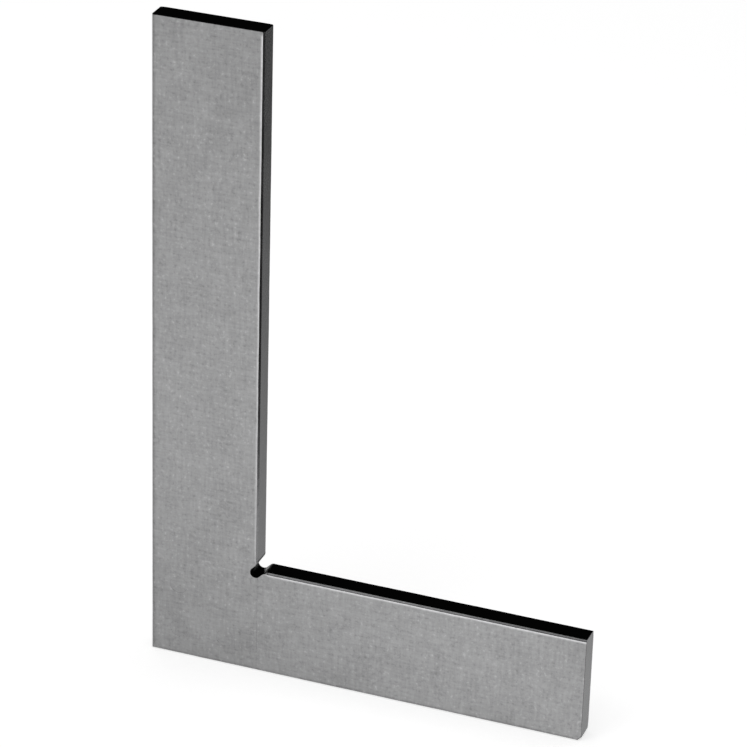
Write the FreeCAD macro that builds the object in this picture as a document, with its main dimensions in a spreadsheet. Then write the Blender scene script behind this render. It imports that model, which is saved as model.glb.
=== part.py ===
import FreeCAD, Part
import math
import os
import re

import Sketcher

# Flat steel square. Two ground bars make an L with a right angle inside and out.
# The foot of the upright leg is a fork, the base leg ends in a tongue that fills it, and three rivets hold
# the corner. Every outside face is ground flush.
#
# Axes: X runs along the base leg, Y through the thickness, Z up the upright leg.
# Origin: the middle of the bottom edge, so the square stands on the XY plane.
# Each leg is drawn from the outer corner of the square, its heel, and then placed.

DIMENSIONS = [
    ("upright_height", 150.0, "outer length of the upright leg"),
    ("base_length", 100.0, "outer length of the base leg"),
    ("leg_width", 25.0, "width of both legs"),
    ("thickness", 5.0, "thickness of both legs"),
    ("tongue_thickness", 1.8, "middle layer of the corner joint"),
    ("relief_width", 2.4, "width of the relief slot"),
    ("relief_depth", 1.9, "how deep the slot goes past the inner corner, along the diagonal"),
    ("mouth_radius", 1.8, "radius of the flare from a slot wall into an inner edge"),
    ("arris_break", 0.4, "chamfer along the long edges of the broad faces"),
    ("corner_break", 0.9, "chamfer across the base leg's outer end corner"),
    ("rivet_diameter", 3.0, "shank of a rivet"),
    ("rivet_countersink", 0.5, "height of a rivet head, and how far it stands out past the shank"),
    ("rivet_near", 6.5, "distance of a near rivet from the heel's outer edges"),
    ("rivet_far", 17.5, "distance of a far rivet from the heel's outer edges"),
]
# Where each rivet stands: its distance from the upright's outer edge and from the base's outer edge.
RIVET_PLACES = [("rivet_near", "rivet_near"), ("rivet_far", "rivet_near"), ("rivet_near", "rivet_far")]
# The slot's round end is centred this far from the heel along X and along Z.
SLOT_CENTRE = "leg_width - (relief_depth - relief_width / 2) * sqrt(0.5)"
# Without its flare, a slot wall would meet the inner edge this far from the heel.
MOUTH = "leg_width + relief_width * sqrt(0.5)"
# A flare takes this much of the inner edge and of the wall: the radius times the tangent of 22.5 degrees.
FLARE = "mouth_radius * (sqrt(2) - 1)"
DIAGONAL = math.sqrt(0.5)
LENGTH_TOLERANCE = 1e-6
VOLUME_TOLERANCE = 1e-3

doc = FreeCAD.newDocument("flat_steel_square")


# ---------------------------------------------------------------- dimensions


def make_sheet():
    """The driving dimensions, one to a row: a note, the value and its alias."""
    sheet = doc.addObject("Spreadsheet::Sheet", "Dimensions")
    for row, (alias, value, note) in enumerate(DIMENSIONS, start=1):
        sheet.set(f"A{row}", note)
        sheet.set(f"B{row}", str(value))
        sheet.setAlias(f"B{row}", alias)
    doc.recompute()
    return sheet


SHEET = make_sheet()
ALIAS_WORDS = re.compile(r"\b(" + "|".join(alias for alias, _, _ in DIMENSIONS) + r")\b")


def size(formula):
    """The value that a formula in the sheet's aliases has now."""
    return float(SHEET.evalExpression(formula))


def bound(formula):
    """The same formula as an object outside the sheet writes it."""
    return ALIAS_WORDS.sub(r"Dimensions.\1", formula)


# ---------------------------------------------------------------- sketches


def new_sketch(body, name, role):
    """An empty sketch, attached flat to one of the body's own origin planes."""
    plane = next(feature for feature in body.Origin.OriginFeatures if feature.Role == role)
    sketch = body.newObject("Sketcher::SketchObject", name)
    sketch.AttachmentSupport = [(plane, "")]
    sketch.MapMode = "FlatFace"
    return sketch


def relate(sketch, *parts):
    """Adds a geometric constraint."""
    sketch.addConstraint(Sketcher.Constraint(*parts))


def dimension(sketch, name, formula, *parts):
    """Adds a dimension that is tied to a formula in the sheet."""
    index = sketch.addConstraint(Sketcher.Constraint(*parts, size(formula)))
    sketch.renameConstraint(index, name)
    sketch.setExpression(f"Constraints.{name}", bound(formula))


def outline(sketch, points):
    """A closed outline of straight lines through the points. Returns the lines' numbers."""
    corners = [FreeCAD.Vector(x, y, 0) for x, y in points]
    lines = []
    for start, end in zip(corners, corners[1:] + corners[:1]):
        lines.append(sketch.addGeometry(Part.LineSegment(start, end), False))
    for line, following in zip(lines, lines[1:] + lines[:1]):
        relate(sketch, "Coincident", line, 2, following, 1)
    return lines


def rectangle(sketch, width, height, left=None):
    """A rectangle that stands on the sketch's X axis, from the Y axis or from the formula left."""
    x = size(left or "0")
    far, high = x + size(width), size(height)
    bottom, right, top, side = outline(sketch, [(x, 0), (far, 0), (far, high), (x, high)])
    for line in (bottom, top):
        relate(sketch, "Horizontal", line)
    for line in (right, side):
        relate(sketch, "Vertical", line)
    relate(sketch, "PointOnObject", bottom, 1, -1)
    if left:
        dimension(sketch, "left", left, "DistanceX", -1, 1, bottom, 1)
    else:
        relate(sketch, "PointOnObject", side, 1, -2)
    dimension(sketch, "width", width, "DistanceX", bottom, 1, bottom, 2)
    dimension(sketch, "height", height, "DistanceY", right, 1, right, 2)


def arc_through(sketch, centre, radius, start_degrees, end_degrees):
    """Adds the arc that runs anticlockwise between two angles, and returns its number."""
    circle = Part.Circle(FreeCAD.Vector(*centre, 0), FreeCAD.Vector(0, 0, 1), radius)
    arc = Part.ArcOfCircle(circle, math.radians(start_degrees), math.radians(end_degrees))
    return sketch.addGeometry(arc, False)


def line_between(sketch, start, end):
    """Adds a straight line, and returns its number."""
    return sketch.addGeometry(Part.LineSegment(FreeCAD.Vector(*start, 0), FreeCAD.Vector(*end, 0)), False)


def relief_band(sketch):
    """The relief slot: a band at 45 degrees through the inner corner, with a full round at its closed end.

    Each wall flares into an inner edge of the square through an arc. Two lines close the outline in the
    open corner.
    """
    corner, radius, flare_radius = size("leg_width"), size("relief_width / 2"), size("mouth_radius")
    middle, side, edge_end = size(SLOT_CENTRE), radius * DIAGONAL, size(f"{MOUTH} + {FLARE}")
    near, far = size(f"leg_width - {FLARE} * sqrt(0.5)"), size(f"{MOUTH} - {FLARE} * sqrt(0.5)")
    end = arc_through(sketch, (middle, middle), radius, 135, 315)
    lower_wall = line_between(sketch, (middle + side, middle - side), (far, near))
    lower_flare = arc_through(sketch, (edge_end, corner - flare_radius), flare_radius, 90, 135)
    right_side = line_between(sketch, (edge_end, corner), (edge_end, edge_end))
    top_side = line_between(sketch, (edge_end, edge_end), (corner, edge_end))
    upper_flare = arc_through(sketch, (corner - flare_radius, edge_end), flare_radius, -45, 0)
    upper_wall = line_between(sketch, (near, far), (middle - side, middle + side))
    relate(sketch, "Tangent", end, 2, lower_wall, 1)
    relate(sketch, "Tangent", lower_wall, 2, lower_flare, 2)
    relate(sketch, "Perpendicular", lower_flare, 1, right_side, 1)
    relate(sketch, "Coincident", right_side, 2, top_side, 1)
    relate(sketch, "Perpendicular", top_side, 2, upper_flare, 2)
    relate(sketch, "Tangent", upper_flare, 1, upper_wall, 1)
    relate(sketch, "Tangent", upper_wall, 2, end, 1)
    relate(sketch, "Vertical", right_side)
    relate(sketch, "Horizontal", top_side)
    relate(sketch, "Parallel", lower_wall, upper_wall)
    relate(sketch, "Angle", lower_wall, math.pi / 4)
    dimension(sketch, "end_radius", "relief_width / 2", "Radius", end)
    dimension(sketch, "centre_x", SLOT_CENTRE, "DistanceX", -1, 1, end, 3)
    dimension(sketch, "centre_z", SLOT_CENTRE, "DistanceY", -1, 1, end, 3)
    dimension(sketch, "lower_flare_radius", "mouth_radius", "Radius", lower_flare)
    dimension(sketch, "upper_flare_radius", "mouth_radius", "Radius", upper_flare)
    dimension(sketch, "lower_flare_end", "leg_width", "DistanceY", -1, 1, lower_flare, 1)
    dimension(sketch, "upper_flare_end", "leg_width", "DistanceX", -1, 1, upper_flare, 2)


def corner_triangles(sketch):
    """What breaking the upright's two inner edges takes away, drawn in a plane across the leg."""
    corner, half, size_of_break = size("leg_width"), size("thickness / 2"), size("arris_break")
    for name, y, inward in (("front", -half, size_of_break), ("back", half, -size_of_break)):
        points = [(corner - size_of_break, y), (corner, y), (corner, y + inward)]
        along_face, along_edge, _ = outline(sketch, points)
        relate(sketch, "Horizontal", along_face)
        relate(sketch, "Vertical", along_edge)
        dimension(sketch, f"{name}_corner_x", "leg_width", "DistanceX", -1, 1, along_edge, 1)
        lower, upper = ((along_edge, 1), (-1, 1)) if name == "front" else ((-1, 1), (along_edge, 1))
        dimension(sketch, f"{name}_corner_y", "thickness / 2", "DistanceY", *lower, *upper)
        dimension(sketch, f"{name}_across", "arris_break", "DistanceX", along_face, 1, along_face, 2)
        first, last = (1, 2) if name == "front" else (2, 1)
        dimension(sketch, f"{name}_deep", "arris_break", "DistanceY", along_edge, first, along_edge, last)


def rivet_circles(sketch):
    """One circle of the shank's size for each rivet."""
    for number, (x_formula, z_formula) in enumerate(RIVET_PLACES, start=1):
        centre = FreeCAD.Vector(size(x_formula), size(z_formula), 0)
        shank = Part.Circle(centre, FreeCAD.Vector(0, 0, 1), size("rivet_diameter / 2"))
        circle = sketch.addGeometry(shank, False)
        dimension(sketch, f"centre_x_{number}", x_formula, "DistanceX", -1, 1, circle, 3)
        dimension(sketch, f"centre_z_{number}", z_formula, "DistanceY", -1, 1, circle, 3)
        dimension(sketch, f"radius_{number}", "rivet_diameter / 2", "Radius", circle)


# ---------------------------------------------------------------- features


def new_body(name):
    """An empty body whose label names its node."""
    body = doc.addObject("PartDesign::Body", name)
    body.Label = name
    return body


def extrude(body, kind, name, sketch, length):
    """A Pad or Pocket of a sketch to both sides of its plane, checked for the volume it adds or takes."""
    before = body.Shape.Volume if body.Tip else 0.0
    feature = body.newObject(kind, name)
    feature.Profile = sketch
    feature.SideType = "Symmetric"
    feature.setExpression("Length", bound(length))
    doc.recompute()
    change = body.Shape.Volume - before
    grows = kind == "PartDesign::Pad"
    if (change > VOLUME_TOLERANCE) != grows or abs(change) < VOLUME_TOLERANCE:
        raise RuntimeError(f"{body.Label}: {name} changed the volume by {change:.3f} mm3")
    return feature


def dress(body, kind, name, belongs, size_property, alias):
    """A Fillet or Chamfer on the edges of the body's present shape that belong to it."""
    base = body.Tip
    before = base.Shape.Volume
    edges = [f"Edge{number}" for number, edge in enumerate(base.Shape.Edges, start=1) if belongs(edge)]
    feature = body.newObject(kind, name)
    feature.Base = (base, edges)
    feature.setExpression(size_property, bound(alias))
    doc.recompute()
    removed = before - body.Shape.Volume
    print(f"{body.Label}: {name} on {len(edges)} edges takes {removed:.3f} mm3")
    if removed < VOLUME_TOLERANCE:
        raise RuntimeError(f"{body.Label}: {name} took nothing away")
    return feature


def is_straight(edge):
    """True for a straight edge."""
    return edge.Curve.TypeId == "Part::GeomLine"


def on_broad_face(edge):
    """True for an edge that lies in the front or the back face."""
    return abs(abs(edge.CenterOfMass.y) - size("thickness / 2")) < LENGTH_TOLERANCE


def is_rivet_rim(edge):
    """True for the rim of a rivet hole in the front or the back face."""
    if is_straight(edge) or not on_broad_face(edge):
        return False
    return edge.Closed and abs(edge.Curve.Radius - size("rivet_diameter / 2")) < LENGTH_TOLERANCE


def is_outer_arris(edge):
    """True for a sharp edge of a broad face along the square's outer edges or the base's inner edge."""
    if not is_straight(edge) or not on_broad_face(edge):
        return False
    middle, corner = edge.CenterOfMass, size("leg_width")
    outer = abs(middle.x) < LENGTH_TOLERANCE or abs(middle.z) < LENGTH_TOLERANCE
    return outer or (abs(middle.z - corner) < LENGTH_TOLERANCE and middle.x > corner)


def is_end_corner(edge):
    """True for the edge through the thickness at the base leg's outer end corner."""
    middle = edge.CenterOfMass
    across = abs(middle.y) < LENGTH_TOLERANCE and abs(middle.z) < LENGTH_TOLERANCE
    return is_straight(edge) and across and abs(middle.x - size("base_length")) < LENGTH_TOLERANCE


def finish_leg(body):
    """The cuts that both legs share: rivet holes, broken edges and, last, the relief slot."""
    holes = new_sketch(body, "rivet_hole_outline", "XZ_Plane")
    rivet_circles(holes)
    extrude(body, "PartDesign::Pocket", "rivet_holes", holes, "2 * thickness")
    dress(body, "PartDesign::Chamfer", "arris_breaks", is_outer_arris, "Size", "arris_break")
    band = new_sketch(body, "relief_outline", "XZ_Plane")
    relief_band(band)
    extrude(body, "PartDesign::Pocket", "relief_slot", band, "2 * thickness")


# ---------------------------------------------------------------- pieces


def make_upright_leg():
    """The long bar, with the fork at its foot that takes the tongue."""
    body = new_body("upright_leg")
    bar = new_sketch(body, "bar_outline", "XZ_Plane")
    rectangle(bar, "leg_width", "upright_height")
    extrude(body, "PartDesign::Pad", "bar", bar, "thickness")
    fork = new_sketch(body, "fork_outline", "XZ_Plane")
    rectangle(fork, "leg_width", "leg_width")
    extrude(body, "PartDesign::Pocket", "fork_slot", fork, "tongue_thickness")
    breaks = new_sketch(body, "inner_break_section", "XY_Plane")
    breaks.setExpression("AttachmentOffset.Base.z", bound("(upright_height + leg_width) / 2"))
    corner_triangles(breaks)
    extrude(body, "PartDesign::Pocket", "inner_arris_breaks", breaks, "upright_height - leg_width")
    finish_leg(body)
    dress(body, "PartDesign::Chamfer", "countersinks", is_rivet_rim, "Size", "rivet_countersink")
    return body


def make_base_leg():
    """The short bar, with the tongue that fills the fork."""
    body = new_body("base_leg")
    tongue = new_sketch(body, "tongue_outline", "XZ_Plane")
    rectangle(tongue, "leg_width", "leg_width")
    extrude(body, "PartDesign::Pad", "tongue", tongue, "tongue_thickness")
    bar = new_sketch(body, "bar_outline", "XZ_Plane")
    rectangle(bar, "base_length - leg_width", "leg_width", left="leg_width")
    extrude(body, "PartDesign::Pad", "bar", bar, "thickness")
    dress(body, "PartDesign::Chamfer", "end_corner_break", is_end_corner, "Size", "corner_break")
    finish_leg(body)
    return body


def make_rivet(name):
    """A rivet: a shank with a countersunk head at each end, turned about the Y axis."""
    body = new_body(name)
    sketch = new_sketch(body, "half_section", "XY_Plane")
    half, neck = size("thickness / 2"), size("thickness / 2 - rivet_countersink")
    shank, rim = size("rivet_diameter / 2"), size("rivet_diameter / 2 + rivet_countersink")
    points = [(0, -half), (rim, -half), (shank, -neck), (shank, neck), (rim, half), (0, half)]
    front, front_cone, side, back_cone, back, axis = outline(sketch, points)
    for line in (front, back):
        relate(sketch, "Horizontal", line)
    relate(sketch, "Vertical", side)
    relate(sketch, "PointOnObject", axis, 1, -2)
    relate(sketch, "Symmetric", axis, 1, axis, 2, -1, 1)
    dimension(sketch, "length", "thickness", "DistanceY", axis, 2, axis, 1)
    dimension(sketch, "shank_radius", "rivet_diameter / 2", "DistanceX", -1, 1, side, 1)
    dimension(sketch, "front_rim", "rivet_countersink", "DistanceX", front_cone, 2, front_cone, 1)
    dimension(sketch, "front_height", "rivet_countersink", "DistanceY", front_cone, 1, front_cone, 2)
    dimension(sketch, "back_rim", "rivet_countersink", "DistanceX", back_cone, 1, back_cone, 2)
    dimension(sketch, "back_height", "rivet_countersink", "DistanceY", back_cone, 1, back_cone, 2)
    turned = body.newObject("PartDesign::Revolution", "turned_shape")
    turned.Profile = sketch
    turned.ReferenceAxis = (sketch, ["V_Axis"])
    turned.Angle = 360
    return body


def set_place(body, from_left, from_bottom):
    """Puts a piece's own origin at a distance from the square's outer edges."""
    body.setExpression("Placement.Base.x", bound(f"{from_left} - base_length / 2"))
    body.setExpression("Placement.Base.z", bound(from_bottom))


def make_square():
    """Makes and places every piece."""
    legs = [make_upright_leg(), make_base_leg()]
    for leg in legs:
        set_place(leg, "0", "0")
    rivets = []
    for number, (from_left, from_bottom) in enumerate(RIVET_PLACES, start=1):
        rivet = make_rivet(f"corner_rivet_{number}")
        set_place(rivet, from_left, from_bottom)
        rivets.append(rivet)
    doc.recompute()
    return legs + rivets


# ---------------------------------------------------------------- checks and files


def check_document():
    """Stops if any object of the document failed to compute."""
    failed = [item.Name for item in doc.Objects if {"Invalid", "Error"} & set(item.State)]
    if failed:
        raise RuntimeError(f"failed objects: {failed}")


def check_pieces(pieces):
    """Stops unless each piece is one valid solid and the corner joint has no gap and no overlap."""
    for piece in pieces:
        shape = piece.Shape
        if shape.isNull() or not shape.isValid() or len(shape.Solids) != 1:
            raise RuntimeError(f"{piece.Label} is not one valid solid")
        print(f"{piece.Label}: {shape.Volume:.2f} mm3")
    together = pieces[0].Shape.fuse([piece.Shape for piece in pieces[1:]]).removeSplitter()
    total = sum(piece.Shape.Volume for piece in pieces)
    if len(together.Solids) != 1 or abs(together.Volume - total) > VOLUME_TOLERANCE:
        raise RuntimeError(f"the pieces overlap by {total - together.Volume:.4f} mm3")
    if len(together.Shells) != 1:
        raise RuntimeError("the corner joint holds a gap")
    plain = size("(upright_height + base_length - leg_width) * leg_width * thickness")
    print(f"all pieces: {total:.2f} mm3, {plain - total:.2f} mm3 less than a plain L")


def export(pieces):
    """Writes one STEP file for each piece, named after its label."""
    os.makedirs("parts", exist_ok=True)
    for piece in pieces:
        piece.Shape.exportStep(f"parts/{piece.Label}.step")


square = make_square()
check_document()
check_pieces(square)
export(square)
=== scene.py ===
import logging
import math
from collections.abc import Sequence
from dataclasses import dataclass, field
from enum import Enum, IntEnum

import bpy
import numpy as np
from mathutils import Matrix, Vector
from mathutils.geometry import delaunay_2d_cdt


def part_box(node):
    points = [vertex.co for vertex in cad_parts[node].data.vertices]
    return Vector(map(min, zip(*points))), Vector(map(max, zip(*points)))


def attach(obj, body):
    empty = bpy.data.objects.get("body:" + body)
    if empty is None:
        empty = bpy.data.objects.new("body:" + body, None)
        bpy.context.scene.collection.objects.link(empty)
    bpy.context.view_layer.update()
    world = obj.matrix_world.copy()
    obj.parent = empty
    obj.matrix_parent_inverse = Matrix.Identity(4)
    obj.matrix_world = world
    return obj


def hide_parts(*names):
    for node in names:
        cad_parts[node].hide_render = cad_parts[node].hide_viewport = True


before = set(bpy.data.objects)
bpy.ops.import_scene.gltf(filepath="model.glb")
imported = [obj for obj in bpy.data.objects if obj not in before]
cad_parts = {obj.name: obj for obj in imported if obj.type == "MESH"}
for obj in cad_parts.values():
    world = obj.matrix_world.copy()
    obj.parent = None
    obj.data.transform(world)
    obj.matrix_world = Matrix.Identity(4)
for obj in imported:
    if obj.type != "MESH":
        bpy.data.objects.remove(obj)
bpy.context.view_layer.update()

LOG = logging.getLogger("steel_square")
MM = 0.001
HALF_ROOT = math.sqrt(0.5)
# Points are welded when they agree to this part of a metre.
WELD_STEPS = 1e7
# Spacing of the points along a straight side, and degrees between those of a round one.
SIDE_STEP = 1.2 * MM
ARC_STEP = 4.0
# The waves of a hand-stoned arris: the share of each, and its length for one radian.
WAVES = ((0.5, 3.1 * MM), (0.3, 1.1 * MM), (0.2, 0.47 * MM))
# Radians that the longest wave is shifted by, for each metre of height at which its side starts.
WAVE_PHASE = 900.0
# Two sides whose normals have a larger dot product than this count as one smooth line.
SMOOTH_COSINE = 0.95


class Surface(IntEnum):
    """What made a surface of a leg, and for some the painted shade in its colour. The value is its place in the mesh's
    list of materials.
    """

    GROUND_FACE = 0
    LAPPED_SHADED_EDGE = 1
    SHADED_SLOT_WALL = 2
    STONED_SHADED_ARRIS = 3


class Facing(Enum):
    """Which broad side of the square a layer belongs to, as the sign of its Y."""

    FRONT = -1
    BACK = 1


# ---------------------------------------------------------------- surfaces as arrays


@dataclass(frozen=True)
class Patch:
    """A piece of surface: corner points, triangles, what made it and the painted edge value at each point.

    Above zero that value is a painted highlight, and below zero it is a painted dark margin.
    """

    points: np.ndarray
    triangles: np.ndarray
    surface: np.ndarray
    highlight_and_margin: np.ndarray

    @staticmethod
    def joined(patches: Sequence["Patch"]) -> "Patch":
        """Welds patches into one closed surface.

        Points that round to the same tenth of a micrometre become one, and triangles that the welding
        has folded to a line are dropped.

        Args:
            patches: The patches, whose shared edges have the same points.

        Returns:
            One patch with each point once.
        """
        points = np.concatenate([patch.points for patch in patches])
        starts = np.cumsum([0] + [len(patch.points) for patch in patches[:-1]])
        triangles = np.concatenate([patch.triangles + start for patch, start in zip(patches, starts)])
        surface = np.concatenate([patch.surface for patch in patches])
        highlight_and_margin = np.concatenate([patch.highlight_and_margin for patch in patches])
        keys = np.round(points * WELD_STEPS).astype(np.int64)
        _, first, number = np.unique(keys, axis=0, return_index=True, return_inverse=True)
        triangles = number.reshape(-1)[triangles]
        a, b, c = triangles.T
        whole = (a != b) & (b != c) & (c != a)
        return Patch(points[first], triangles[whole], surface[whole], highlight_and_margin[first])


def grid_patch(rows: np.ndarray, surface: np.ndarray | int, highlight_and_margin: np.ndarray | float = 0.0) -> Patch:
    """A surface on a grid, closed along its columns: point (i, j) joins (i + 1, j) and (i, j + 1).

    Each cell of the grid is split into two triangles, (i, j), (i + 1, j), (i + 1, j + 1) and
    (i, j), (i + 1, j + 1), (i, j + 1). The last column joins the first.

    Args:
        rows: Points in an array of rows by columns by 3.
        surface: What made each cell, one value for each column or one for all.
        highlight_and_margin: The painted highlight or dark margin at each point, or one value for all.

    Returns:
        The patch. It faces the viewer who sees the columns run anticlockwise when the rows rise away.
    """
    count, width = rows.shape[:2]
    row, column = np.meshgrid(np.arange(count - 1), np.arange(width), indexing="ij")
    following = (column + 1) % width
    a, b = row * width + column, (row + 1) * width + column
    c, d = (row + 1) * width + following, row * width + following
    cells = np.stack([np.stack([a, b, c], -1), np.stack([a, c, d], -1)], axis=2)
    kinds = np.broadcast_to(np.broadcast_to(surface, (width,))[None, :, None], cells.shape[:3])
    painted_edge = np.broadcast_to(highlight_and_margin, (count, width))
    return Patch(rows.reshape(-1, 3), cells.reshape(-1, 3), kinds.reshape(-1), painted_edge.reshape(-1))


def circle(centre: np.ndarray, radius: float, count: int = 64) -> np.ndarray:
    """Points of a circle in the plan, centre + radius (cos a, sin a), anticlockwise."""
    angle = np.linspace(0.0, 2.0 * np.pi, count, endpoint=False)
    return centre + radius * np.stack([np.cos(angle), np.sin(angle)], -1)


def flat_patch(outline: np.ndarray, holes: Sequence[np.ndarray], y: float, facing: Facing,
               surface: Surface) -> Patch:
    """A flat sheet at one Y with round holes, filled by a constrained Delaunay triangulation.

    A triangle belongs to a hole when its middle is nearer to the hole's centre than the hole's rim is.

    Args:
        outline: The rim's points in the plan, anticlockwise.
        holes: The holes' points in the plan.
        y: Where the sheet lies.
        facing: The side that it faces.
        surface: What made it.

    Returns:
        The patch, on exactly the given points.
    """
    loops = [outline, *holes]
    plan = np.concatenate(loops)
    sides, start = [], 0
    for loop in loops:
        numbers = start + np.arange(len(loop))
        sides.append(np.stack([numbers, np.roll(numbers, -1)], -1))
        start += len(loop)
    found = delaunay_2d_cdt(plan.tolist(), np.concatenate(sides).tolist(), [], 1, 1e-9)
    if len(found[0]) != len(plan):
        raise RuntimeError(f"the outline crosses itself: {len(found[0])} points from {len(plan)}")
    triangles = np.array(found[2])
    middle = plan[triangles].mean(axis=1)
    inside = np.ones(len(triangles), dtype=bool)
    for hole in holes:
        centre = hole.mean(axis=0)
        inside &= np.linalg.norm(middle - centre, axis=1) > np.linalg.norm(hole[0] - centre) * 0.999
    triangles = triangles[inside]
    one, two = plan[triangles[:, 1]] - plan[triangles[:, 0]], plan[triangles[:, 2]] - plan[triangles[:, 0]]
    turns_left = one[:, 0] * two[:, 1] > one[:, 1] * two[:, 0]
    flip = turns_left if facing is Facing.BACK else ~turns_left
    triangles[flip] = triangles[flip][:, ::-1]
    points = np.stack([plan[:, 0], np.full(len(plan), y), plan[:, 1]], -1)
    return Patch(points, triangles, np.full(len(triangles), int(surface)), np.zeros(len(points)))


# ---------------------------------------------------------------- outlines in the plan


@dataclass(frozen=True)
class Run:
    """One side of an outline, without its last point.

    It says where the side goes, how far its arris is broken, what made its narrow face, and how bright
    a highlight is painted on the face beside its arris. Below zero the face there is darkened instead.
    """

    points: np.ndarray
    breaks: np.ndarray
    surface: Surface
    edge_highlight: np.ndarray | float = 0.0


def straight_run(start: tuple[float, float], end: tuple[float, float], size: float, surface: Surface,
                 clear: float = 1.05 * MM, waver: float = 0.0,
                 edge_highlight: tuple[float, float] = (0.0, 0.0)) -> Run:
    """A straight side, start + t (end - start), with even steps between its corners.

    The hand-stoned arris wavers: its size is multiplied by one plus a sum of three sines of the distance,
    which a half wave sin(pi t) brings to nothing at both ends.

    Args:
        start: First corner in the plan.
        end: Next corner, which belongs to the next run.
        size: How far the arris is broken.
        surface: What made the side's narrow face.
        clear: Distance of the nearest other points from the corners.
        waver: How much the size of the break wavers, as a share of it.
        edge_highlight: How bright the highlight painted on the face beside the arris is at the start and at the end, up
            to one.

    Returns:
        The run.
    """
    begin, finish = np.array(start), np.array(end)
    length = float(np.linalg.norm(finish - begin))
    count = max(2, round(length / SIDE_STEP))
    steps = np.concatenate([[0.0], np.linspace(clear / length, 1.0 - clear / length, count)])
    phases = (start[1] * WAVE_PHASE, 0.0, 0.0)
    wave = sum(share * np.sin(steps * length / reach + phase)
               for (share, reach), phase in zip(WAVES, phases))
    breaks = size * (1.0 + waver * wave * np.sin(np.pi * steps))
    highlight_ramp = edge_highlight[0] + steps * (edge_highlight[1] - edge_highlight[0])
    return Run(begin + steps[:, None] * (finish - begin), breaks, surface, highlight_ramp)


def arc_run(centre: tuple[float, float], radius: float, degrees: tuple[float, float],
            sizes: tuple[float, float], surface: Surface, edge_highlight: float = 0.0) -> Run:
    """A round side, centre + radius (cos a, sin a), whose angle and arris size go evenly from first to last.

    Args:
        centre: Centre in the plan.
        radius: Radius.
        degrees: First and last angle. A falling angle makes a hollow side.
        sizes: How far the arris is broken at the first and the last angle.
        surface: What made the side's narrow face.
        edge_highlight: How bright the highlight painted on the face beside the arris is.

    Returns:
        The run.
    """
    count = max(3, round(abs(degrees[1] - degrees[0]) / ARC_STEP))
    share = np.linspace(0.0, 1.0, count, endpoint=False)
    angle = np.radians(degrees[0] + share * (degrees[1] - degrees[0]))
    points = np.array(centre) + radius * np.stack([np.cos(angle), np.sin(angle)], -1)
    return Run(points, sizes[0] + share * (sizes[1] - sizes[0]), surface, edge_highlight)


@dataclass(frozen=True)
class Outline:
    """A closed outline in the plan, anticlockwise from the front, with the size of its broken arris."""

    points: np.ndarray
    before: np.ndarray
    after: np.ndarray
    surface: np.ndarray
    edge_highlight: np.ndarray

    @staticmethod
    def of(runs: Sequence[Run]) -> "Outline":
        """Strings runs together. Each corner keeps the break of the side before it and of the one after."""
        sizes = np.concatenate([run.breaks for run in runs])
        corners = np.cumsum([0] + [len(run.points) for run in runs[:-1]])
        before = sizes.copy()
        before[corners] = sizes[corners - 1]
        kinds = np.concatenate([np.full(len(run.points), int(run.surface)) for run in runs])
        edge_highlight = np.concatenate([np.broadcast_to(run.edge_highlight, (len(run.points),)) for run in runs])
        return Outline(np.concatenate([run.points for run in runs]), before, sizes, kinds, edge_highlight)

    def inset(self) -> np.ndarray:
        """How each point moves inward when both of its sides move in by the sizes of their breaks.

        With unit inward normals m and n of the two sides, c their dot product and p and q the breaks, the
        move is ((p - c q) m + (q - c p) n) / (1 - c c). Where the outline runs smoothly, and c is near
        one, it is the mean break times (m + n) / (1 + c).

        Returns:
            One move for each point.
        """
        ahead = np.roll(self.points, -1, axis=0) - self.points
        ahead /= np.linalg.norm(ahead, axis=1, keepdims=True)
        n = np.stack([-ahead[:, 1], ahead[:, 0]], -1)
        m = np.roll(n, 1, axis=0)
        c = (m * n).sum(axis=1)
        smooth = c > SMOOTH_COSINE
        spread = np.where(smooth, 1.0, 1.0 - c * c)
        p, q = self.before, self.after
        corner = ((p - c * q) / spread)[:, None] * m + ((q - c * p) / spread)[:, None] * n
        along = (0.5 * (p + q) / (1.0 + c))[:, None] * (m + n)
        return np.where(smooth[:, None], along, corner)

    def depth(self) -> np.ndarray:
        """How far below the broad face the broken arris begins at each point."""
        return np.maximum(self.before, self.after)


@dataclass(frozen=True)
class ArrisProfile:
    """The section of a broken arris: a small flat that blends into both faces."""

    exponent: float = 0.92
    steps: int = 6
    full_break: float = 0.4 * MM
    skirt: float = 1.75
    fade: float = 2.4

    def rows(self, outline: Outline, half: float, inner: float,
             facing: Facing) -> tuple[np.ndarray, np.ndarray]:
        """Rows of points from a layer's inner level, up the narrow face and over the arris onto the face.

        The section is the curve s ** e + d ** e = 1 of inset s and depth d, both as shares of the break,
        traced as s = sin(a) ** (2 / e), d = cos(a) ** (2 / e) for a from 0 to a quarter turn. A row below
        it and one inside it bound the strip on which the painted highlight, or below zero the dark margin, lies.

        Args:
            outline: The layer's outline.
            half: Half of the leg's thickness.
            inner: Distance of the layer's inner level from the middle.
            facing: The side that the layer is on.

        Returns:
            The rows, and the painted edge value at each of their points: a highlight above zero, a dark margin below.
        """
        angle = np.linspace(0.0, np.pi / 2, self.steps + 1)
        power = 2.0 / self.exponent
        insets = np.concatenate([[0.0, 0.0], np.sin(angle) ** power, [self.fade]])
        depths = np.concatenate([[0.0, self.skirt], np.cos(angle) ** power, [0.0]])
        plan = outline.points + insets[:, None, None] * outline.inset()
        level = half - depths[:, None] * outline.depth()
        level[0] = inner
        rows = np.stack([plan[..., 0], facing.value * level, plan[..., 1]], -1)
        painted_edge = np.clip(outline.depth() / self.full_break, 0.0, 1.0) * outline.edge_highlight
        weight = np.concatenate([np.zeros(self.steps + 2), [1.0, 0.0]])
        return rows, weight[:, None] * painted_edge


# ---------------------------------------------------------------- node trees


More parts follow.
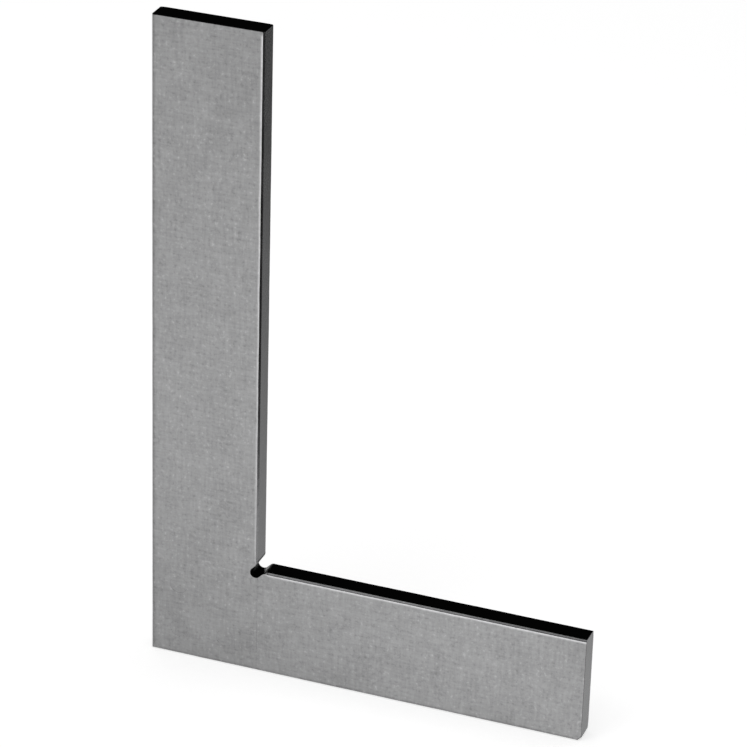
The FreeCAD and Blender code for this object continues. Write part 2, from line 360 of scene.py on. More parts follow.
@dataclass
class NodeBench:
    """Adds and links the nodes of one tree."""

    tree: bpy.types.NodeTree

    def add(self, kind: str, inputs: dict[int | str, object] | None = None,
            **settings: object) -> bpy.types.Node:
        """Adds one node.

        Args:
            kind: The node's type.
            inputs: Values or output sockets by input number or name.
            settings: Other properties of the node.

        Returns:
            The new node.
        """
        node = self.tree.nodes.new(kind)
        for name, value in settings.items():
            setattr(node, name, value)
        for key, value in (inputs or {}).items():
            if isinstance(value, bpy.types.NodeSocket):
                self.tree.links.new(value, node.inputs[key])
            else:
                node.inputs[key].default_value = value
        return node

    def math(self, operation: str, *values: object, clamp: bool = False) -> bpy.types.NodeSocket:
        """The result of a Math node on the values."""
        node = self.add("ShaderNodeMath", dict(enumerate(values)), operation=operation, use_clamp=clamp)
        return node.outputs[0]

    def stretched(self, vector: bpy.types.NodeSocket,
                  factors: tuple[object, object, object]) -> bpy.types.NodeSocket:
        """A position with each coordinate multiplied by its own factor."""
        scale = self.add("ShaderNodeCombineXYZ", dict(enumerate(factors))).outputs[0]
        node = self.add("ShaderNodeVectorMath", {0: vector, 1: scale}, operation="MULTIPLY")
        return node.outputs["Vector"]

    def noise(self, vector: bpy.types.NodeSocket, scale: object, detail: float = 2.0,
              roughness: float = 0.5) -> bpy.types.NodeSocket:
        """A noise value from 0 to 1, mostly near a half."""
        inputs = {"Vector": vector, "Scale": scale, "Detail": detail, "Roughness": roughness}
        return self.add("ShaderNodeTexNoise", inputs).outputs["Fac"]

    def ramp(self, value: object, low: float, high: float, to_low: float = 0.0,
             to_high: float = 1.0) -> bpy.types.NodeSocket:
        """The value, carried from one range to another and kept inside it, with soft ends."""
        inputs = {"Value": value, "From Min": low, "From Max": high, "To Min": to_low, "To Max": to_high}
        return self.add("ShaderNodeMapRange", inputs, interpolation_type="SMOOTHSTEP").outputs["Result"]


def new_group(name: str, inputs: dict[str, tuple[str, float]], outputs: Sequence[str]) -> tuple[
        NodeBench, bpy.types.Node, bpy.types.Node]:
    """Starts a shader node group with named sockets.

    Args:
        name: The group's name.
        inputs: For each input, its kind of socket and its default value.
        outputs: The names of its outputs, which are all values.

    Returns:
        The group's bench, its input node and its output node.
    """
    tree = bpy.data.node_groups.new(name, "ShaderNodeTree")
    for label, (kind, value) in inputs.items():
        socket = tree.interface.new_socket(name=label, in_out="INPUT", socket_type=kind)
        if kind == "NodeSocketFloat":
            socket.default_value = value
    for label in outputs:
        tree.interface.new_socket(name=label, in_out="OUTPUT", socket_type="NodeSocketFloat")
    bench = NodeBench(tree)
    return bench, bench.add("NodeGroupInput"), bench.add("NodeGroupOutput")


def make_grinding_group() -> bpy.types.NodeTree:
    """Fine grinding lines that cross: noise drawn out along Z, and noise drawn out along X and Y.

    Returns:
        A group with the outputs Upright Lines, Level Lines and Both.
    """
    vector, value = "NodeSocketVector", "NodeSocketFloat"
    inputs = {"Position": (vector, 0.0), "Pitch": (value, 3000.0), "Draw": (value, 0.05)}
    bench, source, result = new_group("grinding_lines", inputs, ["Upright Lines", "Level Lines", "Both"])
    position, pitch, draw = source.outputs["Position"], source.outputs["Pitch"], source.outputs["Draw"]
    drawn = bench.math("MULTIPLY", pitch, draw)
    upright = bench.noise(bench.stretched(position, (pitch, pitch, drawn)), 1.0, 3.0, 0.6)
    level = bench.noise(bench.stretched(position, (drawn, pitch, pitch)), 1.0, 3.0, 0.6)
    bench.tree.links.new(upright, result.inputs["Upright Lines"])
    bench.tree.links.new(level, result.inputs["Level Lines"])
    both = bench.math("MULTIPLY", bench.math("ADD", upright, level), 0.5)
    bench.tree.links.new(both, result.inputs["Both"])
    return bench.tree


def make_mottle_group() -> bpy.types.NodeTree:
    """Satin mottle: soft blotches, and small bright grains where a noise rises above a threshold.

    Returns:
        A group with the outputs Blotch, Grains and Pits.
    """
    vector, value = "NodeSocketVector", "NodeSocketFloat"
    inputs = {"Position": (vector, 0.0), "Blotch Scale": (value, 150.0), "Grain Scale": (value, 1150.0)}
    bench, source, result = new_group("satin_mottle", inputs, ["Blotch", "Grains", "Pits"])
    blotch = bench.noise(source.outputs["Position"], source.outputs["Blotch Scale"], 4.0, 0.72)
    grain = bench.noise(source.outputs["Position"], source.outputs["Grain Scale"], 2.0, 0.7)
    bench.tree.links.new(blotch, result.inputs["Blotch"])
    bench.tree.links.new(bench.ramp(grain, 0.56, 0.76), result.inputs["Grains"])
    bench.tree.links.new(bench.ramp(grain, 0.48, 0.28), result.inputs["Pits"])
    return bench.tree


def make_edge_highlight_group() -> bpy.types.NodeTree:
    """A painted highlight beside the arrises, broken up by noise, where the value is above zero, and a painted dark
    margin below it.

    Returns:
        A group with the outputs Painted Highlight and Dark Margin.
    """
    vector, value = "NodeSocketVector", "NodeSocketFloat"
    inputs = {"Position": (vector, 0.0), "Arris": (value, 0.0), "Raggedness": (value, 1.2)}
    bench, source, result = new_group("arris_highlight_and_margin", inputs, ["Polish", "Dark Margin"])
    patch = bench.math("SUBTRACT", bench.noise(source.outputs["Position"], 1400.0, 3.0, 0.6), 0.5)
    ragged = bench.math("MULTIPLY_ADD", patch, source.outputs["Raggedness"], 1.0)
    painted_edge = bench.math("MULTIPLY", source.outputs["Arris"], ragged)
    bench.tree.links.new(bench.math("MULTIPLY", painted_edge, 1.0, clamp=True), result.inputs["Polish"])
    bench.tree.links.new(bench.math("MULTIPLY", painted_edge, -1.0, clamp=True), result.inputs["Dark Margin"])
    return bench.tree


# ---------------------------------------------------------------- finishes


@dataclass(frozen=True)
class SteelFinish:
    """A finish of bare steel. Shades are shares of the base colour, and sizes are in metres."""

    name: str
    colour: tuple[float, float, float]
    roughness: float
    # The painted highlight beside the arrises: its colour, and the roughness mixed in with it.
    highlight_colour: tuple[float, float, float] = (0.85, 0.85, 0.86)
    highlight_roughness: float = 0.3
    pitch: float = 1700.0
    draw: float = 0.12
    line_shade: float = 0.7
    blotch_shade: float = 0.62
    grain_shade: float = 0.28
    pit_shade: float = 0.17
    # How far the painted dark margin along the outer arrises darkens the colour.
    dark_margin_shade: float = 0.5
    roughness_spread: float = 0.25
    bump_distance: float = 2.0e-6

    def material(self, groups: "FinishGroups") -> bpy.types.Material:
        """Makes the material: grinding lines and mottle shade it, and a painted highlight brightens its arrises.

        Args:
            groups: The shared node groups.

        Returns:
            The new material.
        """
        made = bpy.data.materials.new(self.name)
        made.use_nodes = True
        bench = NodeBench(made.node_tree)
        shader = made.node_tree.nodes["Principled BSDF"]
        shader.inputs["Metallic"].default_value = 1.0
        position = bench.add("ShaderNodeTexCoord").outputs["Object"]
        lines = bench.add("ShaderNodeGroup", node_tree=groups.grinding)
        mottle = bench.add("ShaderNodeGroup", node_tree=groups.mottle)
        highlight_and_margin = bench.add("ShaderNodeGroup", node_tree=groups.highlight_and_margin)
        for group in (lines, mottle, highlight_and_margin):
            bench.tree.links.new(position, group.inputs["Position"])
        lines.inputs["Pitch"].default_value = self.pitch
        lines.inputs["Draw"].default_value = self.draw
        arris = bench.add("ShaderNodeAttribute", attribute_name="arris").outputs["Fac"]
        bench.tree.links.new(arris, highlight_and_margin.inputs["Arris"])
        line = bench.math("SUBTRACT", lines.outputs["Both"], 0.5)
        shade = bench.math("MULTIPLY_ADD", line, self.line_shade, 1.0)
        blotch = bench.math("SUBTRACT", mottle.outputs["Blotch"], 0.5)
        shade = bench.math("MULTIPLY_ADD", blotch, self.blotch_shade, shade)
        shade = bench.math("MULTIPLY_ADD", mottle.outputs["Grains"], self.grain_shade, shade)
        shade = bench.math("MULTIPLY_ADD", mottle.outputs["Pits"], -self.pit_shade, shade)
        # Painted dark margin: the colour is darkened beside the outer arrises where the edge value is below zero.
        shade = bench.math("MULTIPLY_ADD", highlight_and_margin.outputs["Dark Margin"], -self.dark_margin_shade, shade)
        plain = bench.add("ShaderNodeVectorMath", {0: self.colour, 3: shade}, operation="SCALE").outputs[0]
        # Painted highlight: beside the inner arrises the colour is mixed towards the bright highlight colour.
        edge_highlight = highlight_and_margin.outputs["Polish"]
        mix = {0: edge_highlight, 6: plain, 7: (*self.highlight_colour, 1.0)}
        colour = bench.add("ShaderNodeMix", mix, data_type="RGBA").outputs[2]
        bench.tree.links.new(colour, shader.inputs["Base Color"])
        rough = bench.math("MULTIPLY_ADD", blotch, self.roughness_spread, self.roughness)
        rough = bench.math("MULTIPLY_ADD", mottle.outputs["Grains"], -0.3 * self.roughness_spread, rough)
        mix = {0: edge_highlight, 2: rough, 3: self.highlight_roughness}
        rough = bench.add("ShaderNodeMix", mix, data_type="FLOAT").outputs[0]
        bench.tree.links.new(rough, shader.inputs["Roughness"])
        height = bench.math("ADD", lines.outputs["Both"], mottle.outputs["Grains"])
        relief = {"Height": height, "Distance": self.bump_distance, "Strength": 1.0}
        bump = bench.add("ShaderNodeBump", relief)
        bench.tree.links.new(bump.outputs["Normal"], shader.inputs["Normal"])
        return made


@dataclass
class FinishGroups:
    """The node groups that the finishes share, each built once."""

    grinding: bpy.types.NodeTree = field(default_factory=make_grinding_group)
    mottle: bpy.types.NodeTree = field(default_factory=make_mottle_group)
    highlight_and_margin: bpy.types.NodeTree = field(default_factory=make_edge_highlight_group)


GROUND_FACE = SteelFinish("ground_satin_face", (0.363, 0.363, 0.366), 0.4)
# Arris: the stoned finish, darkened by painted shade; its highlight colour is a painted highlight.
STONED_SHADED_ARRIS = SteelFinish("stoned_arris_painted_shade", (0.2, 0.2, 0.203), 0.2, highlight_colour=(0.3, 0.3, 0.3),
                           line_shade=0.3, blotch_shade=0.3, grain_shade=0.2, pit_shade=0.2,
                           bump_distance=0.6e-6)
# Narrow edges: the lapped finish, darkened further by painted shade so that the edges read dark.
LAPPED_SHADED_EDGE = SteelFinish("lapped_narrow_edge_painted_shade", (0.235, 0.235, 0.238), 0.2, line_shade=0.3,
                          blotch_shade=0.15, grain_shade=0.1, pit_shade=0.08, roughness_spread=0.08,
                          bump_distance=0.6e-6)
# Slot walls: a near-black colour, which is painted shade for the dark recess of the slot.
SHADED_SLOT_WALL = SteelFinish("slot_wall_painted_shade", (0.03, 0.03, 0.031), 0.4, pitch=4000.0, line_shade=0.8)
RIVET_HEAD = SteelFinish("ground_rivet_head", (0.359, 0.359, 0.362), 0.405)


# ---------------------------------------------------------------- pieces


@dataclass(frozen=True)
class SquareSizes:
    """The square's sizes. Those of the whole come from the frame, and those of the joint are the maker's."""

    heel: np.ndarray
    height: float
    length: float
    width: float
    thickness: float
    tongue: float = 1.8 * MM
    relief_radius: float = 1.2 * MM
    relief_depth: float = 1.9 * MM
    mouth_radius: float = 1.8 * MM
    corner_break: float = 0.9 * MM
    long_break: float = 0.4 * MM
    end_break: float = 0.05 * MM
    seam_break: float = 0.012 * MM
    slot_break: float = 0.03 * MM
    waver: float = 0.1
    # How bright the painted highlight beside the inner arrises is, at the start and the end of each side.
    upright_highlight: tuple[float, float] = (0.33, 1.0)
    base_highlight: tuple[float, float] = (0.9, 0.85)
    # Below zero: a painted dark margin beside the outer arrises.
    outer_dark_margin: tuple[float, float] = (-0.7, -0.7)
    shank_radius: float = 1.5 * MM
    countersink: float = 0.5 * MM

    @staticmethod
    def from_frame() -> "SquareSizes":
        """Reads the overall sizes from the boxes of the two legs."""
        upright_low, upright_high = (np.array(corner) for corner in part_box("upright_leg"))
        base_low, base_high = (np.array(corner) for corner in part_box("base_leg"))
        tall, long = upright_high - upright_low, base_high - base_low
        heel = np.array([upright_low[0], 0.5 * (upright_low[1] + upright_high[1]), upright_low[2]])
        return SquareSizes(heel, float(tall[2]), float(long[0]), float(tall[0]), float(tall[1]))

    @property
    def half(self) -> float:
        """Half of the thickness."""
        return 0.5 * self.thickness

    @property
    def slot_centre(self) -> float:
        """How far the middle of the slot's round end is from the heel, along X and along Z."""
        return self.width - (self.relief_depth - self.relief_radius) * HALF_ROOT

    @property
    def slot_edge(self) -> float:
        """Where the slot's round end crosses the line between the legs, along that line."""
        aside = self.width - self.slot_centre
        return self.slot_centre - math.sqrt(self.relief_radius ** 2 - aside ** 2)

    @property
    def crossing_degrees(self) -> float:
        """The angle, seen from the slot's centre, from straight down to that crossing."""
        return math.degrees(math.asin((self.width - self.slot_centre) / self.relief_radius))

    @property
    def mouth(self) -> float:
        """Where the slot's straight wall would meet an inner edge without its flare."""
        return self.width + 2.0 * self.relief_radius * HALF_ROOT

    @property
    def flare(self) -> float:
        """Length that the flare takes from the wall and from the inner edge: its radius times tan 22.5."""
        return self.mouth_radius * (math.sqrt(2.0) - 1.0)

    def round_end(self, first: float, last: float) -> Run:
        """Part of the slot's round end, between two falling angles."""
        breaks = (self.slot_break, self.slot_break)
        return arc_run((self.slot_centre, self.slot_centre), self.relief_radius, (first, last), breaks,
                       Surface.SHADED_SLOT_WALL)

    def rivet_centres(self) -> list[np.ndarray]:
        """The middles of the rivets in the plan, from the heel."""
        boxes = [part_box(f"corner_rivet_{number}") for number in (1, 2, 3)]
        middles = [0.5 * (np.array(low) + np.array(high)) - self.heel for low, high in boxes]
        return [middle[[0, 2]] for middle in middles]

    def joint_outline(self) -> np.ndarray:
        """The plan of the corner where fork and tongue lie on each other: a square less the slot's end."""
        runs = [*self.heel_runs(), self.seam_up(),
                self.round_end(-90.0 + self.crossing_degrees, -180.0 - self.crossing_degrees), self.seam_left()]
        return np.concatenate([run.points for run in runs])

    def long_side(self, start: tuple[float, float], end: tuple[float, float],
                  edge_highlight: tuple[float, float]) -> Run:
        """A long side of the square, whose arris was stoned by hand."""
        return straight_run(start, end, self.long_break, Surface.LAPPED_SHADED_EDGE, waver=self.waver, edge_highlight=edge_highlight)

    def heel_runs(self) -> list[Run]:
        """The corner's outer sides, from the top of the joint down the outer edge and along the bottom."""
        return [self.long_side((0.0, self.width), (0.0, 0.0), self.outer_dark_margin),
                self.long_side((0.0, 0.0), (self.width, 0.0), self.outer_dark_margin)]

    def seam(self, start: tuple[float, float], end: tuple[float, float]) -> Run:
        """Part of a line between the legs, whose edges are left nearly sharp."""
        return straight_run(start, end, self.seam_break, Surface.LAPPED_SHADED_EDGE)

    def seam_up(self) -> Run:
        """The upright line between the legs, from the bottom to the slot."""
        return self.seam((self.width, 0.0), (self.width, self.slot_edge))

    def seam_down(self) -> Run:
        """The same line the other way."""
        return self.seam((self.width, self.slot_edge), (self.width, 0.0))

    def seam_left(self) -> Run:
        """The level line between tongue and fork, from the slot to the outer edge."""
        return self.seam((self.slot_edge, self.width), (0.0, self.width))

    def seam_right(self) -> Run:
        """The same line the other way."""
        return self.seam((0.0, self.width), (self.slot_edge, self.width))


@dataclass
class Leg:
    """What both legs share: two outer layers with broken arrises, a middle layer, and rivet holes."""

    sizes: SquareSizes
    node: str = ""
    profile: ArrisProfile = field(default_factory=ArrisProfile)

    def outer_outline(self) -> Outline:
        """The outline of the front and back layers."""
        raise NotImplementedError

    def middle_outline(self) -> Outline:
        """The outline of the middle layer."""
        raise NotImplementedError

    def face_holes(self) -> list[np.ndarray]:
        """The rims of the holes in the broad faces."""
        raise NotImplementedError

    def joint_patches(self) -> list[Patch]:
        """The hidden faces of the joint, with the walls of the rivet holes."""
        raise NotImplementedError

    def layer(self, facing: Facing) -> list[Patch]:
        """One outer layer: its narrow faces, its arris, the margin of its broad face that carries the painted highlight
        or dark margin, and the rest.

        Args:
            facing: Which of the two layers.

        Returns:
            Its patches.
        """
        sizes, outline = self.sizes, self.outer_outline()
        rows, painted_edge = self.profile.rows(outline, sizes.half, 0.5 * sizes.tongue, facing)
        order = slice(None, None, facing.value)
        walls = grid_patch(rows[:3][order], outline.surface, painted_edge[:3][order])
        arris = grid_patch(rows[2:-1][order], Surface.STONED_SHADED_ARRIS, painted_edge[2:-1][order])
        margin = grid_patch(rows[-2:][order], Surface.GROUND_FACE, painted_edge[-2:][order])
        rim = rows[-1][:, [0, 2]]
        face = flat_patch(rim, self.face_holes(), facing.value * sizes.half, facing, Surface.GROUND_FACE)
        return [walls, arris, margin, face]

    def middle(self) -> Patch:
        """The narrow faces of the middle layer."""
        outline, reach = self.middle_outline(), 0.5 * self.sizes.tongue
        rows = np.stack([np.insert(outline.points, 1, level, axis=1) for level in (-reach, reach)])
        return grid_patch(rows, outline.surface)

    def make(self, finishes: Sequence[bpy.types.Material]) -> bpy.types.Object:
        """Builds the leg in place of its node.

        Args:
            finishes: The materials, in the order of Surface.

        Returns:
            The new object.
        """
        patches = [*self.layer(Facing.FRONT), *self.layer(Facing.BACK), self.middle(), *self.joint_patches()]
        return make_piece(self.node, Patch.joined(patches), self.sizes.heel, finishes)


@dataclass
class UprightLeg(Leg):
    """The long leg. Its outer layers reach to the bottom as a fork, and its middle layer stops above it."""

    node: str = "upright_leg"

    def blade_runs(self) -> list[Run]:
        """The sides above the joint, from the slot's upper wall round the top end to the outer edge."""
        s = self.sizes
        w, h, m = s.width, s.height, s.mouth
        low = s.slot_centre - s.relief_radius * HALF_ROOT, s.slot_centre + s.relief_radius * HALF_ROOT
        high = w - s.flare * HALF_ROOT, m - s.flare * HALF_ROOT
        top = m + s.flare
        return [
            straight_run(low, high, s.slot_break, Surface.SHADED_SLOT_WALL, clear=0.1 * MM),
            arc_run((w - s.mouth_radius, top), s.mouth_radius, (-45.0, 0.0), (s.slot_break, s.long_break),
                    Surface.SHADED_SLOT_WALL, s.upright_highlight[0]),
            s.long_side((w, top), (w, h), s.upright_highlight),
            straight_run((w, h), (0.0, h), s.end_break, Surface.LAPPED_SHADED_EDGE),
            s.long_side((0.0, h), (0.0, w), s.outer_dark_margin),
        ]

    def outer_outline(self) -> Outline:
        """The whole bar, with the slot's end cut from its inner edge."""
        s = self.sizes
        slot = [s.round_end(-90.0 + s.crossing_degrees, -180.0 - s.crossing_degrees),
                s.round_end(-180.0 - s.crossing_degrees, -225.0)]
        return Outline.of([*s.heel_runs(), s.seam_up(), *slot, *self.blade_runs()])

    def middle_outline(self) -> Outline:
        """The bar above the joint."""
        s = self.sizes
        slot = s.round_end(-180.0 - s.crossing_degrees, -225.0)
        return Outline.of([s.seam_right(), slot, *self.blade_runs()])

    def face_holes(self) -> list[np.ndarray]:
        """The countersunk rims of the three rivet holes."""
        s = self.sizes
        return [circle(centre, s.shank_radius + s.countersink) for centre in s.rivet_centres()]

    def joint_patches(self) -> list[Patch]:
        """The inner faces of the fork, and each hole's cone and round wall on both sides."""
        s, reach = self.sizes, 0.5 * self.sizes.tongue
        shanks = [circle(centre, s.shank_radius) for centre in s.rivet_centres()]
        kind = Surface.LAPPED_SHADED_EDGE
        patches = [flat_patch(s.joint_outline(), shanks, -reach, Facing.BACK, kind),
                   flat_patch(s.joint_outline(), shanks, reach, Facing.FRONT, kind)]
        for rim, shank in zip(self.face_holes(), shanks):
            steps = ((rim, s.half), (shank, s.half - s.countersink), (shank, reach))
            for side in Facing:
                rows = np.stack([np.insert(loop, 1, side.value * level, axis=1) for loop, level in steps])
                patches.append(grid_patch(rows[::side.value], kind))
        return patches


@dataclass
class BaseLeg(Leg):
    """The short leg. Its middle layer runs on to the outer edge as a tongue."""

    node: str = "base_leg"

    def bar_runs(self) -> list[Run]:
        """The sides beyond the joint: the bottom, the broken end corner, the end, the top and the slot's wall."""
        s = self.sizes
        w, end, m, cut = s.width, s.length, s.mouth, s.corner_break
        start = m + s.flare
        inner = s.slot_centre + s.relief_radius * HALF_ROOT, s.slot_centre - s.relief_radius * HALF_ROOT
        outer = m - s.flare * HALF_ROOT, w - s.flare * HALF_ROOT
        return [
            s.long_side((w, 0.0), (end - cut, 0.0), s.outer_dark_margin),
            straight_run((end - cut, 0.0), (end, cut), s.long_break, Surface.LAPPED_SHADED_EDGE, clear=0.5 * MM),
            straight_run((end, cut), (end, w), s.end_break, Surface.LAPPED_SHADED_EDGE, clear=1.5 * MM),
            s.long_side((end, w), (start, w), s.base_highlight),
            arc_run((start, w - s.mouth_radius), s.mouth_radius, (90.0, 135.0), (s.long_break, s.slot_break),
                    Surface.SHADED_SLOT_WALL, s.base_highlight[1]),
            straight_run(outer, inner, s.slot_break, Surface.SHADED_SLOT_WALL, clear=0.1 * MM),
            s.round_end(-45.0, -90.0 + s.crossing_degrees),
        ]

    def outer_outline(self) -> Outline:
        """The bar, which ends at the fork."""
        return Outline.of([*self.bar_runs(), self.sizes.seam_down()])

    def middle_outline(self) -> Outline:
        """The bar with its tongue."""
        s = self.sizes
        slot = s.round_end(-90.0 + s.crossing_degrees, -180.0 - s.crossing_degrees)
        return Outline.of([*self.bar_runs(), slot, s.seam_left(), *s.heel_runs()])

    def face_holes(self) -> list[np.ndarray]:
        """None: the rivets pass through the tongue only."""
        return []

    def joint_patches(self) -> list[Patch]:
        """The two faces of the tongue and the walls of its rivet holes."""
        s, reach = self.sizes, 0.5 * self.sizes.tongue
        shanks = [circle(centre, s.shank_radius) for centre in s.rivet_centres()]
        kind = Surface.LAPPED_SHADED_EDGE
        patches = [flat_patch(s.joint_outline(), shanks, -reach, Facing.FRONT, kind),
                   flat_patch(s.joint_outline(), shanks, reach, Facing.BACK, kind)]
        for shank in shanks:
            rows = np.stack([np.insert(shank, 1, level, axis=1) for level in (reach, -reach)])
            patches.append(grid_patch(rows, kind))
        return patches


@dataclass
class Rivet:
    """A rivet with a countersunk head at each end, ground flush."""

    node: str
    centre: np.ndarray
    sizes: SquareSizes
    rim_break: float = 0.02 * MM

    def make(self, finish: bpy.types.Material) -> bpy.types.Object:
        """Turns the section about the rivet's axis: each of its points becomes a circle in the plan.

        Args:
            finish: The heads' material.

        Returns:
            The new object.
        """
        s = self.sizes
        rim = s.shank_radius + s.countersink
        radii = np.array([0.0, rim - self.rim_break, rim - 0.2 * self.rim_break, s.shank_radius])
        levels = np.array([s.half, s.half, s.half - self.rim_break, s.half - s.countersink])
        radii, levels = np.concatenate([radii, radii[::-1]]), np.concatenate([-levels, levels[::-1]])
        plan = self.centre + radii[:, None, None] * circle(np.zeros(2), 1.0)
        rows = np.stack([plan[..., 0], np.broadcast_to(levels[:, None], plan.shape[:2]), plan[..., 1]], -1)
        return make_piece(self.node, Patch.joined([grid_patch(rows, 0)]), s.heel, [finish])


def make_piece(node: str, patch: Patch, origin: np.ndarray, finishes: Sequence[bpy.types.Material]) -> bpy.types.Object:
    """Puts a closed surface into the scene in place of a node of the frame.

    Args:
        node: The node that it stands for.
        patch: The surface, measured from the heel.
        origin: The heel.
        finishes: The materials.

    Returns:
        The new object.
    """
    mesh = bpy.data.meshes.new(f"{node}_steel")
    mesh.from_pydata((patch.points + origin).tolist(), [], patch.triangles.tolist())
    for finish in finishes:
        mesh.materials.append(finish)
    mesh.polygons.foreach_set("material_index", patch.surface.astype(np.int32))
    # Per point: a painted highlight above zero, a painted dark margin below zero.
    arris = mesh.attributes.new("arris", "FLOAT", "POINT")
    arris.data.foreach_set("value", patch.highlight_and_margin.astype(np.float32))
    mesh.update()
    piece = bpy.data.objects.new(f"{node}_steel", mesh)
    bpy.context.scene.collection.objects.link(piece)
    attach(piece, "root")
    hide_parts(node)
    LOG.info("%s: %d points, %d triangles", piece.name, len(patch.points), len(patch.triangles))
    return piece


# ---------------------------------------------------------------- studio


@dataclass(frozen=True)
class Softbox:
    """A square studio light."""

    name: str
    place: tuple[float, float, float]
    target: tuple[float, float, float]
    size: float
    power: float
    mirrored: bool = True

    def hang(self) -> None:
        """Adds the light, out of the camera's sight. One that isn't mirrored lights only the floor."""
        light = bpy.data.lights.new(self.name, "AREA")
        light.shape, light.size, light.energy = "SQUARE", self.size, self.power
        lamp = bpy.data.objects.new(self.name, light)
        towards = Vector(self.target) - Vector(self.place)
        turn = towards.to_track_quat("-Z", "Y").to_matrix().to_4x4()
        lamp.matrix_world = Matrix.Translation(self.place) @ turn
        lamp.visible_camera, lamp.visible_glossy = False, self.mirrored
        bpy.context.scene.collection.objects.link(lamp)


@dataclass(frozen=True)
class Flag:
    """A sheet of smoked film on the floor that only the steel mirrors, so that an edge reads darker.

    The share of light that it lets through goes evenly from the first to the last of two values, over a
    distance measured along one direction on the floor.
    """

    name: str
    corners: tuple[tuple[float, float], ...]
    direction: tuple[float, float]
    reach: tuple[float, float]
    passes: tuple[float, float]
    height: float = 0.2 * MM

    def film(self) -> bpy.types.Material:
        """The film: a Transparent shader whose colour is the share that passes."""
        made = bpy.data.materials.new(f"{self.name}_film")
        made.use_nodes = True
        tree = made.node_tree
        tree.nodes.clear()
        bench = NodeBench(tree)
        place = bench.add("ShaderNodeTexCoord").outputs["Object"]
        ways = {0: place, 1: (*self.direction, 0.0)}
        along = bench.add("ShaderNodeVectorMath", ways, operation="DOT_PRODUCT")
        share = bench.add("ShaderNodeMapRange", {
            "Value": along.outputs["Value"], "From Min": self.reach[0], "From Max": self.reach[1],
            "To Min": self.passes[0], "To Max": self.passes[1]}).outputs["Result"]
        film = bench.add("ShaderNodeBsdfTransparent", {"Color": share}).outputs["BSDF"]
        bench.add("ShaderNodeOutputMaterial", {"Surface": film})
        return made


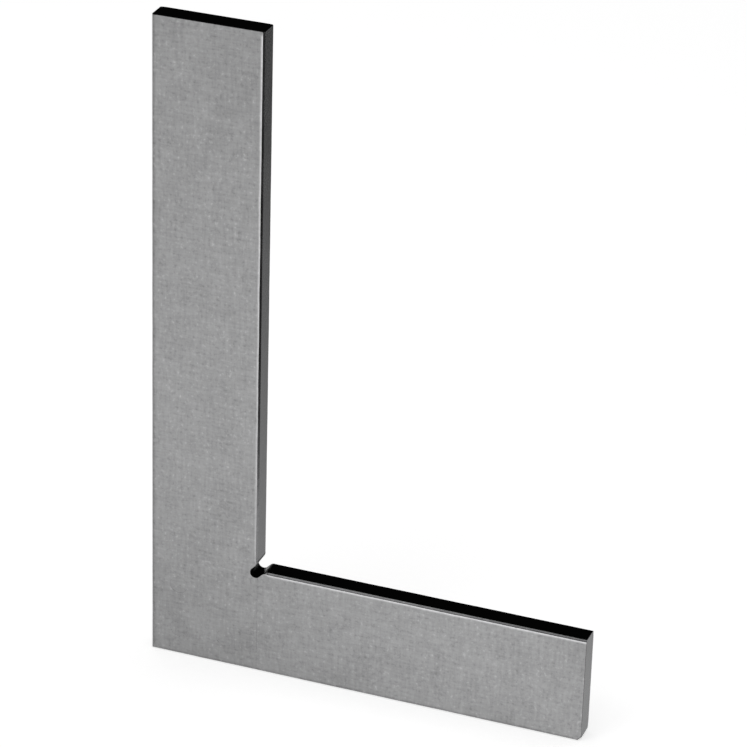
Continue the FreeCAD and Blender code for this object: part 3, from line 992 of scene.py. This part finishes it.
@dataclass(frozen=True)
class Studio:
    """A pale light table for a floor, soft lights, flags that only the steel mirrors, and the camera."""

    floor_reach: float = 4.0
    floor_shade: float = 0.85
    floor_glow: float = 0.68
    azimuth: float = 19.924
    elevation: float = 26.526
    roll: float = 1.667
    distance: float = 0.78165
    aim: tuple[float, float, float] = (-0.00065, 0.00056, 0.07649)
    lens: float = 179.85
    softboxes: tuple[Softbox, ...] = (
        Softbox("room_fill", (0.0, 0.0, 2.0), (0.0, 0.0, 0.0), 2.6, 17.0, False),
        Softbox("front_fill", (-0.5, -1.6, 1.2), (-0.1, -0.2, 0.0), 1.6, 6.0, False),
        Softbox("overhead_softbox", (0.0, 0.1, 1.0), (0.0, 0.1, 0.0), 0.6, 0.5),
        Softbox("arris_softbox", (-0.27, -0.4, 0.78), (0.0, 0.0, 0.025), 0.3, 0.33),
    )
    flags: tuple[Flag, ...] = (
        Flag("rear_flag", ((-0.045, 0.012), (0.012, 0.012), (0.3, 0.6), (0.06, 0.6)), (0.0, 1.0), (0.0, 0.3),
             (0.6, 0.1)),
        Flag("side_flag", ((0.055, -0.35), (0.5, -0.35), (0.5, 0.005), (0.055, 0.005)), (1.0, 0.0), (0.04, 0.1),
             (0.35, 0.05)),
        Flag("end_flag", ((0.0501, -0.003), (0.09, -0.003), (0.1, 0.055), (0.0501, 0.055)), (0.0, 1.0),
             (0.0, 0.05), (0.61, 0.5)),
        Flag("heel_flag", ((-0.12, -0.12), (0.06, -0.12), (0.06, -0.003), (-0.12, -0.003)), (0.6, -0.8),
             (-0.015, 0.03), (0.79, 1.0)),
        Flag("far_flag", ((-0.3, -0.45), (0.0, -0.45), (0.0, -0.25), (-0.3, -0.25)), (0.0, -1.0), (0.25, 0.3),
             (1.0, 0.7)),
    )

    def plane(self, name: str, corners: Sequence[tuple[float, float]], height: float) -> bpy.types.Object:
        """A level sheet that belongs to the stage."""
        mesh = bpy.data.meshes.new(name)
        mesh.from_pydata([(x, y, height) for x, y in corners], [], [tuple(range(len(corners)))])
        sheet = bpy.data.objects.new(name, mesh)
        bpy.context.scene.collection.objects.link(sheet)
        return sheet

    def lay_floor(self) -> None:
        """The floor: a wide plain sheet of matt off-white, lit evenly from below as well as from above."""
        r = self.floor_reach
        floor = self.plane("studio_floor", [(-r, -r), (r, -r), (r, r), (-r, r)], 0.0)
        paint = bpy.data.materials.new("studio_floor_paint")
        paint.use_nodes = True
        shader = paint.node_tree.nodes["Principled BSDF"]
        shader.inputs["Base Color"].default_value = (self.floor_shade,) * 3 + (1.0,)
        shader.inputs["Roughness"].default_value = 0.9
        shader.inputs["Specular IOR Level"].default_value = 0.0
        shader.inputs["Emission Color"].default_value = (1.0, 1.0, 1.0, 1.0)
        shader.inputs["Emission Strength"].default_value = self.floor_glow
        floor.data.materials.append(paint)

    def lay_flags(self) -> None:
        """Lays the flags just above the floor, hidden from the camera, the floor's light and shadows."""
        for flag in self.flags:
            sheet = self.plane(flag.name, flag.corners, flag.height)
            sheet.data.materials.append(flag.film())
            sheet.visible_camera = sheet.visible_diffuse = sheet.visible_shadow = False
            sheet.visible_transmission = sheet.visible_volume_scatter = False

    def set_world(self) -> None:
        """Pale where the camera looks past the floor, and dark for every other ray."""
        world = bpy.data.worlds.new("studio_room")
        world.use_nodes = True
        bpy.context.scene.world = world
        bench = NodeBench(world.node_tree)
        seen = bench.add("ShaderNodeLightPath").outputs["Is Camera Ray"]
        backdrop = world.node_tree.nodes["Background"]
        backdrop.inputs["Color"].default_value = (1.0, 1.0, 1.0, 1.0)
        strength = bench.add("ShaderNodeMapRange", {"Value": seen, "To Min": 0.003, "To Max": 1.0})
        bench.tree.links.new(strength.outputs["Result"], backdrop.inputs["Strength"])

    def set_camera(self) -> None:
        """Points the camera: back from the aim along azimuth and elevation, then rolled about its own axis."""
        angles = self.azimuth, self.elevation, self.roll
        azimuth, elevation, roll = (math.radians(angle) for angle in angles)
        back = Vector((math.sin(azimuth) * math.cos(elevation), -math.cos(azimuth) * math.cos(elevation),
                       math.sin(elevation)))
        level = (-back).cross(Vector((0.0, 0.0, 1.0))).normalized()
        rise = back.cross(level)
        right = level * math.cos(roll) + rise * math.sin(roll)
        up = rise * math.cos(roll) - level * math.sin(roll)
        turned = Matrix((right, up, back)).transposed().to_4x4()
        turned.translation = Vector(self.aim) + back * self.distance
        camera = bpy.data.cameras.new("studio_camera")
        camera.lens, camera.sensor_width = self.lens, 36.0
        holder = bpy.data.objects.new("studio_camera", camera)
        holder.matrix_world = turned
        bpy.context.scene.collection.objects.link(holder)
        bpy.context.scene.camera = holder

    def build(self) -> None:
        """Sets up everything that isn't part of the square."""
        self.set_camera()
        self.lay_floor()
        self.lay_flags()
        self.set_world()
        for softbox in self.softboxes:
            softbox.hang()
        bpy.context.scene.view_settings.view_transform = "Standard"
        LOG.info("studio: floor, %d lights and camera", len(self.softboxes))


def main() -> None:
    """Builds the studio, the finishes, the two legs and the three rivets."""
    logging.basicConfig(level=logging.INFO, format="%(name)s: %(message)s")
    Studio().build()
    groups = FinishGroups()
    surfaces = (GROUND_FACE, LAPPED_SHADED_EDGE, SHADED_SLOT_WALL, STONED_SHADED_ARRIS)
    leg_finishes = [finish.material(groups) for finish in surfaces]
    head_finish = RIVET_HEAD.material(groups)
    sizes = SquareSizes.from_frame()
    UprightLeg(sizes).make(leg_finishes)
    BaseLeg(sizes).make(leg_finishes)
    for number, centre in enumerate(sizes.rivet_centres(), start=1):
        Rivet(f"corner_rivet_{number}", centre, sizes).make(head_finish)


if __name__ == "__main__":
    main()
